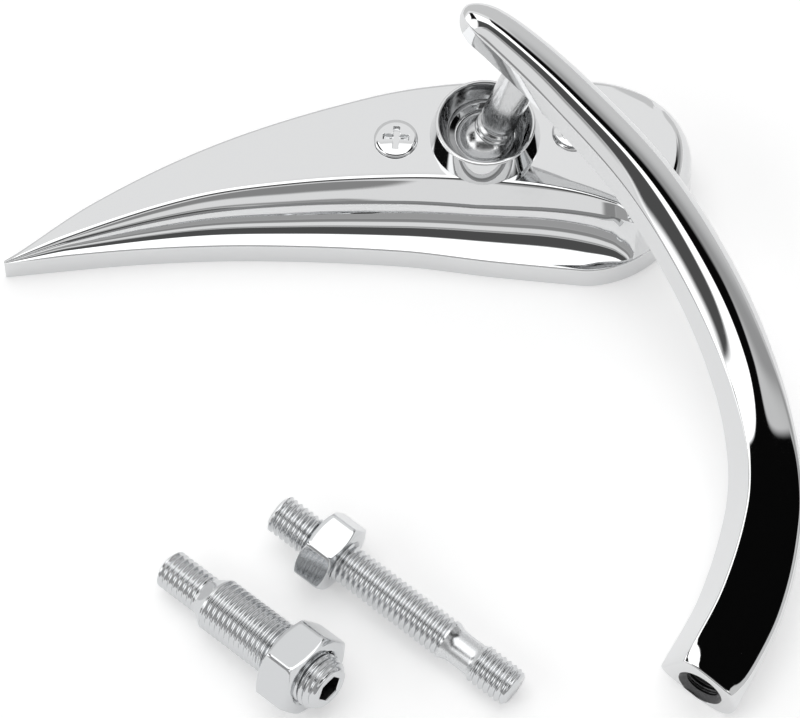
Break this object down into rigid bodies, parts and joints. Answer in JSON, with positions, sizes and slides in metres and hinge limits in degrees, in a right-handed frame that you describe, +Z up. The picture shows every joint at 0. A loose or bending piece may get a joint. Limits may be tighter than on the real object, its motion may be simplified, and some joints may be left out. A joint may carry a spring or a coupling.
{
  "type": "handlebar mirror",
  "caption": "Chrome teardrop rear-view mirror on a curved arm with a clamped ball joint, lying on its glass beside loose threaded adapter studs with nuts.",
  "frame": {"origin": "on the table, under the middle of the whole set's bounding box", "axes": "+X from the head's point towards its round end, +Y from the arm's tapped end towards the head, +Z up from the glass through the boss"},
  "size_m": [0.1534, 0.134, 0.0481],
  "materials": {
    "head_chrome": "polished chrome plate",
    "mirror": "silvered convex glass",
    "pad": "closed-cell foam pad",
    "seal": "matt",
    "seat": "natural acetal",
    "spring": "oiled spring steel",
    "plate": "zinc plated",
    "screw_chrome": "bright",
    "stud_satin": "satin nickel",
    "arm_chrome": "polished chrome plate",
    "thread_zinc": "bright zinc",
    "nut_zinc": "bright zinc"
  },
  "bodies": {
    "arm": {"arm": "arm_chrome"},
    "ball_stud": {"ball_stud": "stud_satin"},
    "seats": {"upper_seat_ring": "seat", "lower_seat_cup": "seat"},
    "head": {"head_housing": "head_chrome", "mirror_glass": "mirror", "glass_pad": "pad", "rim_seal": "seal", "disc_spring_lower": "spring", "disc_spring_upper": "spring", "clamp_plate": "plate", "clamp_screw_left": "screw_chrome", "clamp_screw_right": "screw_chrome"},
    "long_stud": {"long_stud": "thread_zinc"},
    "long_stud_nut": {"long_stud_nut": "nut_zinc"},
    "short_stud": {"short_stud": "thread_zinc"},
    "short_stud_nut": {"short_stud_nut": "nut_zinc"}
  },
  "joints": [
    {"name": "stud_turn", "type": "hinge", "parent": "arm", "child": "ball_stud", "pos_m": [0.01709, 0.05225, 0.012], "axis": [0.2784, 0.0711, 0.9578], "range_deg": [-25, 25]},
    {"name": "head_tilt", "type": "hinge", "parent": "ball_stud", "child": "seats", "pos_m": [0.01709, 0.05225, 0.012], "axis": [-0.2475, 0.9689, 0], "range_deg": [-3, 34]},
    {"name": "head_turn", "type": "hinge", "parent": "seats", "child": "head", "pos_m": [0.01709, 0.05225, 0.012], "axis": [0, 0, 1], "range_deg": [-35, 25]},
    {"name": "long_stud_lift", "type": "slide", "parent": "arm", "child": "long_stud", "axis": [0, 0, 1], "range_m": [0, 0.02]},
    {"name": "long_nut_travel", "type": "slide", "parent": "long_stud", "child": "long_stud_nut", "axis": [0.7828, -0.6183, -0.0702], "range_m": [-0.008, 0.024]},
    {"name": "short_stud_lift", "type": "slide", "parent": "arm", "child": "short_stud", "axis": [0, 0, 1], "range_m": [0, 0.02]},
    {"name": "short_nut_travel", "type": "slide", "parent": "short_stud", "child": "short_stud_nut", "axis": [0.7353, -0.6644, 0.1339], "range_m": [-0.016, 0.001]}
  ]
}
